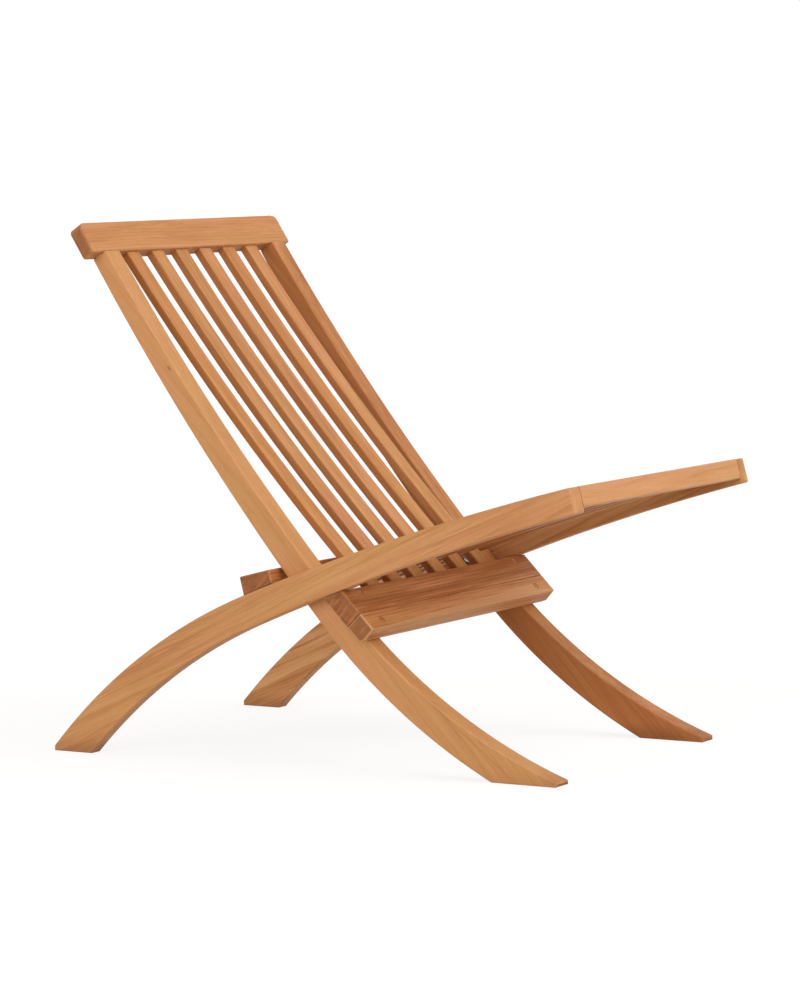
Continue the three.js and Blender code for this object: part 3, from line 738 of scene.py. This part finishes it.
def plug_tree():
    """Wooden plugs with a softly domed face, one at each vertex of a mesh of places."""
    measures = {"Radius": "Float", "Length": "Float", "Crown": "Float", "Ease": "Float"}
    inputs = {"Places": "Object", **measures, "Turn": "Vector", "Finish": "Material"}
    g, given = new_tree("Wooden plugs", inputs)
    shape = {"Vertices": 40, "Side Segments": 3, "Fill Segments": 5}
    shape.update({"Radius": given["Radius"], "Depth": given["Length"]})
    body = g.made("GeometryNodeMeshCylinder", shape, "Mesh", fill_type="TRIANGLE_FAN")
    x, y, z = g.parts(g.add("GeometryNodeInputPosition").outputs["Position"])
    share = g.math("DIVIDE", g.vector("LENGTH", g.join(x, y, 0.0)), given["Radius"])
    top = g.math("GREATER_THAN", z, g.times(given["Length"], PLUG_TOP_SHARE))
    dome = g.times(g.math("SUBTRACT", 1.0, g.math("POWER", share, 2.0)), given["Crown"])
    fall = g.times(g.math("POWER", share, PLUG_RIM_POWER), given["Ease"])
    rise = g.math("SUBTRACT", g.math("SUBTRACT", dome, fall), given["Crown"])
    lift = g.join(0.0, 0.0, g.times(top, rise))
    plug = g.made("GeometryNodeSetPosition", {"Geometry": body, "Offset": lift})
    points = g.made("GeometryNodeObjectInfo", {"Object": given["Places"]})
    turn = g.made("FunctionNodeEulerToRotation", {"Euler": given["Turn"]}, "Rotation")
    return finish_tree(g, {"Points": points, "Instance": plug, "Rotation": turn}, given["Finish"])


def grown(tree, values):
    """The plain mesh that a geometry tree makes from its named inputs."""
    holder = new_object("growing", bpy.data.meshes.new("growing"))
    modifier = holder.modifiers.new("Nodes", "NODES")
    modifier.node_group = tree
    for item in tree.interface.items_tree:
        if item.in_out == "INPUT":
            modifier[item.identifier] = values[item.name]
    mesh = plain_mesh(holder)
    if not mesh.polygons:
        raise RuntimeError(f"{tree.name} made nothing")
    return mesh


def row_of(tree, nodes, pattern, name, finish):
    """One piece that repeats a mesh, made at the middle of the chair, at the places of the nodes."""
    first, last = middle_x(nodes[0]), middle_x(nodes[-1])
    piece, pitch = new_object(name + "_pattern", pattern), (last - first) / (len(nodes) - 1)
    values = {"Piece": piece, "Count": len(nodes), "Pitch": pitch, "First place": first}
    row = grown(tree, {**values, "Finish": finish})
    bpy.data.objects.remove(piece)
    bpy.data.meshes.remove(pattern)
    return smooth_piece(name, row, finish)


def nodes_like(prefix):
    return sorted((n for n in frame["nodes"] if n.startswith(prefix)), key=lambda n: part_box(n)[0].x)


def middle_x(node_name):
    low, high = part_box(node_name)
    return (low.x + high.x) / 2


# Turned hardware


def hexagon(flat):
    """Radius of a hexagon at each angle, from half its width across the flats."""
    return lambda angle: flat / math.cos((angle + math.pi / 6) % (math.pi / 3) - math.pi / 6)


def cross(reach, half_width):
    """Radius of a cross recess at each angle."""

    def radius(angle):
        c, s = abs(math.cos(angle)), abs(math.sin(angle))
        return min(reach / max(c, s), half_width / max(1e-6, min(c, s)))

    return radius


def turned_mesh(name, rings, segments, origin, axis):
    """A closed turned shape. A ring is (radius or a function of the angle, height), and 0 is a point."""
    axis = Vector(axis).normalized()
    turn = Vector((0, 0, 1)).rotation_difference(axis).to_matrix()
    bm = bmesh.new()
    loops = []
    for radius, height in rings:
        if radius == 0:
            loops.append([bm.verts.new(Vector(origin) + turn @ Vector((0, 0, height)))])
            continue
        loop = []
        for i in range(segments):
            angle = 2 * math.pi * i / segments
            r = radius(angle) if callable(radius) else radius
            point = Vector((r * math.cos(angle), r * math.sin(angle), height))
            loop.append(bm.verts.new(Vector(origin) + turn @ point))
        loops.append(loop)
    for first, second in zip(loops, loops[1:]):
        for i in range(segments):
            j = (i + 1) % segments
            if len(first) == 1:
                bm.faces.new((first[0], second[i], second[j]))
            elif len(second) == 1:
                bm.faces.new((first[i], first[j], second[0]))
            else:
                bm.faces.new((first[i], first[j], second[j], second[i]))
    bmesh.ops.recalc_face_normals(bm, faces=bm.faces)
    for edge in bm.edges:
        edge.smooth = math.degrees(edge.calc_face_angle()) < TURNED_BEND
    mesh = bpy.data.meshes.new(name)
    bm.to_mesh(mesh)
    bm.free()
    return mesh


# Operators


class CHAIR_OT_members(bpy.types.Operator):
    """Finish the curved stiles and side rails"""

    bl_idname = "chair.members"
    bl_label = "Stiles and side rails"

    def execute(self, context):
        streaks = (
            (1, 0.19, 0.27, 0.029, 0.0345, 0.0012, 0.55),
            (1, 0.115, 0.16, -0.013, 0.0, 0.0012, 0.5),
            (1, 0.122, 0.168, 0.006, -0.003, 0.001, 0.4),
            (1, 0.478, 0.515, 0.0575, 0.059, 0.0007, 0.4),
            (1, 0.42, 0.455, 0.0505, 0.0517, 0.0007, 0.4),
            (1, -0.43, -0.2, 0.0722, 0.0296, 0.0014, 0.45),
        )
        knots = ((1, 0.3835, 0.0388, 0.0028),)
        # The far stile and leg get painted shade on their inner faces, where the slats and the seat cast
        # shade
        left = dict(figure=0.4, contrast=0.8, side_shade=0.6)
        rail = dict(pale_lines=0.4, end_share=0.1)
        looks = {
            "back_stile_right": dict(seed=1.0, figure=0.15, contrast=0.38, streaks=streaks, knots=knots),
            "back_stile_left": dict(seed=2.0, warmth=0.32, depth=0.8, **left),
            "seat_rail_right": dict(seed=3.0, figure=0.35, contrast=0.6, **rail),
            "seat_rail_left": dict(seed=4.0, warmth=0.1, depth=-0.3, figure=0.8, contrast=1.3, **rail),
        }
        for node, look in looks.items():
            angle = RAIL_GRAIN if "rail" in node else STILE_GRAIN
            mesh = dressed(node, direction_of(angle), soft_ends=True)
            finish = teak("teak_" + node, in_side_view(angle), **look)
            hand_over(smooth_piece("timber_" + node, mesh, finish), body_of(node), "teak", node)
        return {"FINISHED"}


class CHAIR_OT_crosspieces(bpy.types.Operator):
    """Finish the rails and boards that run across the chair"""

    bl_idname = "chair.crosspieces"
    bl_label = "Rails and boards"

    def execute(self, context):
        front_pith = (-0.28, -0.2)
        streaks = (
            (2, -0.3, 0.3, -0.0165, -0.019, 0.006, 0.6),
            (2, -0.28, 0.12, 0.004, -0.001, 0.0016, 0.5),
            (2, -0.16, 0.3, 0.0085, 0.006, 0.0022, 0.45),
        )
        upper = dict(figure=0.9, contrast=1.35, streaks=streaks, pith=front_pith)
        # The lower board's narrow bottom face is painted much paler, a painted highlight from the front light
        lower = dict(figure=0.6, wear_and_highlight=0.5, pith=front_pith)
        looks = {
            "top_rail": dict(grain=along_x(0.8), seed=5.0, warmth=0.22, figure=0.4, contrast=0.6, wear_and_highlight=0.25),
            "front_board_upper": dict(grain=along_x(-0.6), seed=6.0, warmth=0.5, depth=0.7, **upper),
            "front_board_lower": dict(grain=along_x(0.4), seed=7.0, warmth=0.25, depth=0.15, **lower),
            "front_rail": dict(grain=along_x(0.3), seed=8.0, depth=-0.4, figure=0.3, contrast=0.6, wear_and_highlight=0.2),
            "rear_board": dict(grain=along_x(), seed=9.0, warmth=0.5, depth=0.6, figure=0.8),
        }
        for node, look in looks.items():
            finish = teak("teak_" + node, **look)
            strip = PAINTED_HIGHLIGHT_STRIP if node == "front_board_lower" else ARRIS_STRIP
            rounding = context.scene.chair_timber.rail_end_radius if node == "top_rail" else 0.0
            mesh = dressed(node, (1, 0, 0), arris_strip=strip, drawn_in=rounding)
            keep_within(mesh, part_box(node))
            piece = smooth_piece("timber_" + node, mesh, finish)
            hand_over(piece, body_of(node), "teak_board" if "board" in node else "teak", node)
        return {"FINISHED"}


class CHAIR_OT_slats(bpy.types.Operator):
    """Make the slats of the back and of the seat"""

    bl_idname = "chair.slats"
    bl_label = "Slats"

    def execute(self, context):
        tree = row_tree()
        # Painted shade: the slats' sides are darkened, and the seat slats darkened overall, in place of the
        # shade between the slats and under the seat
        back = dict(seed=11.0, side_shade=0.62, depth=0.3, warmth=0.15, pale_rows=(0, 4))
        seat = dict(seed=12.0, side_shade=0.7, depth=0.6, warmth=0.2)
        rows = (
            ("back_slat_", "back_frame", "timber_back_slats", BACK_SLAT_GRAIN, back),
            ("seat_slat_", "seat_frame", "timber_seat_slats", SEAT_SLAT_GRAIN, seat),
        )
        for prefix, body, name, angle, look in rows:
            nodes = nodes_like(prefix)
            pattern = nodes[len(nodes) // 2]
            mesh = dressed(pattern, direction_of(angle))
            mesh.transform(Matrix.Translation((-middle_x(pattern), 0, 0)))
            finish = teak("teak_" + prefix + "row", in_side_view(angle), figure=0.4, contrast=0.75, **look)
            hand_over(row_of(tree, nodes, mesh, name, finish), body, "teak", *nodes)
        return {"FINISHED"}


class CHAIR_OT_plugs(bpy.types.Operator):
    """Make the wooden plugs over the sunk screws"""

    bl_idname = "chair.plugs"
    bl_label = "Wooden plugs"

    def execute(self, context):
        fasteners = context.scene.chair_fasteners
        tree = plug_tree()
        rows = {"board_plug_": ("back_frame", "board_plugs"), "rear_plug_": ("seat_frame", "rear_plugs")}
        for prefix, (body, name) in rows.items():
            nodes = nodes_like(prefix)
            axis, radius, span = plug_measures(nodes[0])
            places = bpy.data.meshes.new(name + "_places")
            places.from_pydata([sum(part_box(n), Vector()) / 2 for n in nodes], [], [])
            finish = teak("teak_" + name, along_x(7.0), 13.0, warmth=0.35, depth=0.45, figure=0.6)
            holder = new_object(name + "_places", places)
            turn = tuple(Vector((0, 0, 1)).rotation_difference(axis).to_euler())
            rim = {"Crown": fasteners.plug_crown, "Ease": fasteners.plug_ease}
            values = {"Places": holder, "Radius": radius, "Length": span, **rim, "Turn": turn}
            mesh = grown(tree, {**values, "Finish": finish})
            bpy.data.objects.remove(holder)
            bpy.data.meshes.remove(places)
            hand_over(smooth_piece(name, mesh, finish), body, "teak_end", *nodes)
        return {"FINISHED"}


def plug_measures(node_name):
    """Outward axis, radius and length of a plug, from its CAD node."""
    rim_share = 0.98
    low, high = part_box(node_name)
    centre, radius = (low + high) / 2, (high.x - low.x) / 2
    corners = [v.co for v in frame["nodes"][node_name].data.vertices]
    reach = max((co - centre).length for co in corners)
    span = 2 * math.sqrt(max(0.0, reach**2 - radius**2))
    rim = [c for c in corners if abs(c.x - centre.x) > rim_share * radius]
    axis = max(rim, key=lambda co: co.z) - min(rim, key=lambda co: co.z)
    axis.x = 0.0
    return axis.normalized(), radius, span


class CHAIR_OT_hardware(bpy.types.Operator):
    """Make the hinge bolts and slat screws, and finish the parts inside the joints"""

    bl_idname = "chair.hardware"
    bl_label = "Hinge hardware and screws"

    def execute(self, context):
        fasteners = context.scene.chair_fasteners
        steel = brushed_steel(fasteners.steel)
        for side in ("right", "left"):
            node = "hinge_bolt_" + side
            bolt = smooth_piece("bolt_" + side, bolt_mesh(node, fasteners), steel)
            hand_over(bolt, "seat_frame", "stainless", node)
        screws = nodes_like("slat_screw_")
        pattern = screw_mesh(screws[len(screws) // 2], fasteners)
        row = row_of(row_tree(), screws, pattern, "slat_screws", steel)
        hand_over(row, "seat_frame", "stainless", *screws)
        dowels = teak("teak_dowels", along_x(), 14.0, depth=0.3)
        for name, node in frame["nodes"].items():
            if node.hide_render:
                continue
            finish = dowels if "dowel" in name else steel
            if node.data.materials:
                node.material_slots[0].material = finish
            else:
                node.data.materials.append(finish)
        return {"FINISHED"}


def bolt_mesh(node_name, fasteners):
    """A button-headed bolt with a hexagon socket, from the middle of the chair outwards."""
    dome_share, rim, mouth, point = 0.72, 0.0003, 0.0002, 0.001
    low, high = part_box(node_name)
    outward = 1 if high.x > 0 else -1
    start = low.x if outward > 0 else high.x
    span = high.x - low.x
    head_radius = (high.z - low.z) / 2
    head, shank = fasteners.bolt_head, fasteners.bolt_shank
    socket, depth = hexagon(fasteners.bolt_socket), fasteners.bolt_socket_depth
    angles = [math.radians(a) for a in (28, 42, 56, 70, 82, 90)]
    dome = [(math.sin(a) * head_radius, (1 - math.cos(a)) * head * dome_share) for a in angles]
    rings = [
        (0, depth),
        (socket, depth),
        (socket, mouth),
        (hexagon(fasteners.bolt_socket + rim), 0.0),
        *[(r, h - dome[0][1]) for r, h in dome],
        (head_radius, head - rim),
        (head_radius - rim, head),
        (shank, head),
        (shank, span - point),
        (shank - point, span),
        (0, span),
    ]
    origin = (start, (low.y + high.y) / 2, (low.z + high.z) / 2)
    return turned_mesh(node_name + "_turned", rings, 48, origin, (outward, 0, 0))


def screw_mesh(node_name, fasteners):
    """A countersunk screw with a cross recess, centred across the chair."""
    pitch, thread_depth, plain, point = 0.0018, 0.0006, 0.006, 0.005
    depth, width, inner, mouth = 0.0016, 0.0006, 0.0005, 0.0002
    head_reach, taper, rim, rim_drop = 0.01, 0.0004, 0.0001, 0.00015
    corners = [v.co for v in frame["nodes"][node_name].data.vertices]
    low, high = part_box(node_name)
    bottom = min(corners, key=lambda co: co.z)
    tip = max(corners, key=lambda co: co.z)
    head_rim = [c for c in corners if (c - bottom).length < head_reach]
    head_centre = sum(head_rim, Vector()) / len(head_rim)
    axis = (tip - head_centre).normalized()
    level = min((co - head_centre).dot(axis) for co in corners)
    origin = head_centre + axis * level
    span = (tip - origin).length
    radius = (high.x - low.x) / 2
    reach, shank = fasteners.screw_cross, fasteners.screw_shank
    thread = []
    for i in range(int((span - 2 * plain) / pitch)):
        height = plain + i * pitch
        thread += [(shank - thread_depth, height), (shank, height + pitch / 2)]
    rings = [
        (0, depth),
        (inner, depth),
        (cross(reach, width), mouth),
        (cross(reach + mouth, width + mouth), 0.0),
        (radius - taper, 0.0),
        (radius - rim, rim_drop),
        (shank - taper, fasteners.screw_head),
        *thread,
        (shank - 2 * taper, span - point),
        (0, span),
    ]
    origin.x -= middle_x(node_name)
    return turned_mesh(node_name + "_turned", rings, 32, origin, axis)


class CHAIR_OT_stage(bpy.types.Operator):
    """Set the floor, the lights, the background and the camera"""

    bl_idname = "chair.stage"
    bl_label = "Stage"

    def execute(self, context):
        stage = context.scene.chair_stage
        half = stage.floor_size / 2
        mesh = bpy.data.meshes.new("floor")
        square = ((-half, -half), (half, -half), (half, half), (-half, half))
        mesh.from_pydata([(x, y, FLOOR_HEIGHT) for x, y in square], [], [(0, 1, 2, 3)])
        mesh.materials.append(self.floor_finish(stage))
        new_object("floor", mesh)
        self.background(context, stage)
        self.lamp("side_light", SIDE_SOURCE, stage.side_strength, stage.light_spread)
        self.lamp("front_light", FRONT_SOURCE, stage.front_strength, stage.light_spread)
        self.camera(context)
        context.scene.view_settings.view_transform = "Standard"
        return {"FINISHED"}

    def floor_finish(self, stage):
        material, g, matt = new_material("pale_floor")
        place = g.add("ShaderNodeTexCoord").outputs["Object"]
        cloud = g.noise(g.scaled(place, (3.0, 3.0, 3.0)), 4.0)
        tint = g.mix(cloud, rgba(stage.floor_colour, 0.97), rgba(stage.floor_colour))
        g.put_all(matt, {"Base Color": tint, "Roughness": 0.9, "Specular IOR Level": 0.1})
        white = g.add("ShaderNodeEmission")
        g.put_all(white, {"Color": rgba(WHITE), "Strength": FLOOR_GLOW})
        share = g.times(seen_directly(g), 1 - stage.shadow_share)
        self.blend(g, share, matt, white, "Material Output")
        return material

    def background(self, context, stage):
        world = bpy.data.worlds.new("studio")
        world.use_nodes = True
        g = Graph(world.node_tree)
        around = world.node_tree.nodes["Background"]
        g.put_all(around, {"Color": rgba(AMBIENT_COLOUR), "Strength": stage.ambient})
        white = g.add("ShaderNodeBackground")
        g.put_all(white, {"Color": rgba(WHITE), "Strength": BACKGROUND_GLOW})
        self.blend(g, seen_directly(g), around, white, "World Output")
        context.scene.world = world

    def blend(self, g, share, first, second, output):
        both = g.put_first(g.add("ShaderNodeMixShader"), share, first.outputs[0], second.outputs[0])
        g.put(g.tree.nodes[output].inputs["Surface"], both[0])

    def lamp(self, name, source, energy, spread):
        light = bpy.data.lights.new(name, "SUN")
        light.energy = energy
        light.angle = spread
        new_object(name, light).rotation_euler = Vector(source).to_track_quat("Z", "Y").to_euler()

    def camera(self, context):
        azimuth, elevation, roll = (math.radians(a) for a in CAMERA_ANGLES)
        level = math.cos(elevation)
        back = Vector((math.sin(azimuth) * level, -math.cos(azimuth) * level, math.sin(elevation)))
        right = Vector((0, 0, 1)).cross(back).normalized()
        up = back.cross(right)
        rolled_right = math.cos(roll) * right + math.sin(roll) * up
        rolled_up = math.cos(roll) * up - math.sin(roll) * right
        lens = bpy.data.cameras.new("camera")
        lens.sensor_fit = "VERTICAL"
        lens.sensor_height = SENSOR_HEIGHT
        lens.lens = FOCAL_LENGTH
        lens.clip_end = 100.0
        camera = new_object("camera", lens)
        turn = Matrix((rolled_right, rolled_up, back)).transposed().to_4x4()
        camera.matrix_world = Matrix.Translation(Vector(CAMERA_AIM) + back * CAMERA_DISTANCE) @ turn
        context.scene.camera = camera


def seen_directly(g):
    """1 for rays that show the background: from the camera, in a reflection or through glass."""
    path = g.add("ShaderNodeLightPath")
    some = g.math("MAXIMUM", path.outputs["Is Camera Ray"], path.outputs["Is Glossy Ray"])
    return g.math("MAXIMUM", some, path.outputs["Is Transmission Ray"])


class CHAIR_PT_tools(bpy.types.Panel):
    """Settings and steps of the chair"""

    bl_idname = "CHAIR_PT_tools"
    bl_label = "Folding teak chair"
    bl_space_type = "VIEW_3D"
    bl_region_type = "UI"
    bl_category = "Chair"

    def draw(self, context):
        for title in GROUPS:
            box = self.layout.box()
            box.label(text=title.removeprefix("chair_").capitalize())
            group = getattr(context.scene, title)
            for name in group.bl_rna.properties.keys():
                if name not in ("rna_type", "name"):
                    box.prop(group, name)
        for operator in OPERATORS:
            self.layout.operator(operator.bl_idname)


GROUPS = {"chair_timber": TimberSettings, "chair_fasteners": FastenerSettings, "chair_stage": StageSettings}
OPERATORS = (
    CHAIR_OT_stage,
    CHAIR_OT_members,
    CHAIR_OT_crosspieces,
    CHAIR_OT_slats,
    CHAIR_OT_plugs,
    CHAIR_OT_hardware,
)


def register():
    for cls in (*GROUPS.values(), *OPERATORS, CHAIR_PT_tools):
        bpy.utils.register_class(cls)
    for name, group in GROUPS.items():
        setattr(bpy.types.Scene, name, bpy.props.PointerProperty(type=group))


def unregister():
    for name in GROUPS:
        delattr(bpy.types.Scene, name)
    for cls in reversed((*GROUPS.values(), *OPERATORS, CHAIR_PT_tools)):
        bpy.utils.unregister_class(cls)


def main():
    register()
    bpy.ops.chair.stage()
    bpy.ops.chair.members()
    bpy.ops.chair.crosspieces()
    bpy.ops.chair.slats()
    bpy.ops.chair.plugs()
    bpy.ops.chair.hardware()


if __name__ == "__main__":
    main()
